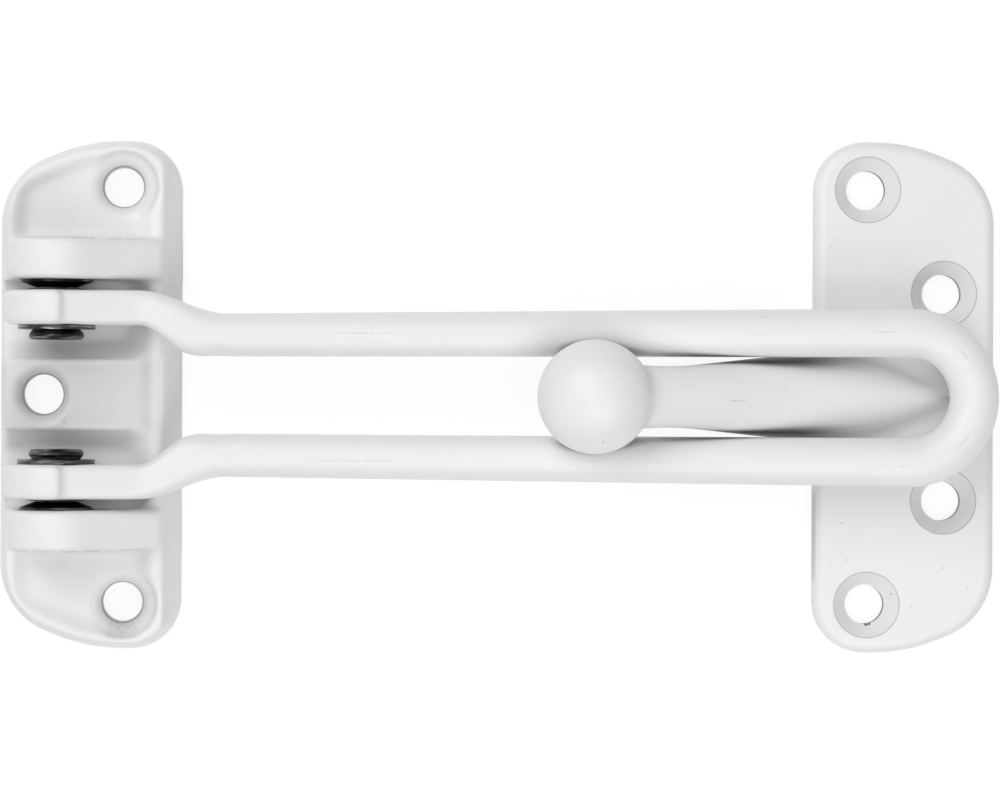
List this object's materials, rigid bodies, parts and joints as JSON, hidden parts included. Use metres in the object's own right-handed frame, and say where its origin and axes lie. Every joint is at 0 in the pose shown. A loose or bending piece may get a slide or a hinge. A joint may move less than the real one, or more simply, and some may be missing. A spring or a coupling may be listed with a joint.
{
  "type": "swing bar door guard",
  "caption": "Swing bar door guard: a hinged loop of bar on a cast bracket, closed over the ball-ended horn of a cast strike plate.",
  "frame": {"origin": "middle of the hinge bracket's flat back, on its mounting face", "axes": "+X from the hinge bracket to the strike plate, +Y up the door's edge along the hinge axis, +Z out of the mounting face"},
  "size_m": [0.136, 0.07, 0.0249],
  "materials": {
    "white_powder_coat": "satin white powder coat on die-cast zinc",
    "rivet_steel": "dark, lightly polished steel",
    "washer_steel": "plain stamped steel"
  },
  "bodies": {
    "bracket": {"hinge_bracket": "white_powder_coat", "upper_pivot_pin": "rivet_steel", "lower_pivot_pin": "rivet_steel", "upper_flat_washer": "washer_steel", "lower_flat_washer": "washer_steel", "upper_spring_washer": "washer_steel", "lower_spring_washer": "washer_steel"},
    "bar": {"swing_bar": "white_powder_coat"},
    "strike": {"strike_plate": "white_powder_coat"}
  },
  "joints": [
    {"name": "bar_swing", "type": "hinge", "parent": "bracket", "child": "bar", "pos_m": [-0.0043, 0, 0.00975], "axis": [0, -1, 0], "range_deg": [0, 175]},
    {"name": "strike_slide", "type": "slide", "parent": "bar", "child": "strike", "axis": [1, 0, 0], "range_m": [-0.055, 0.008]}
  ]
}
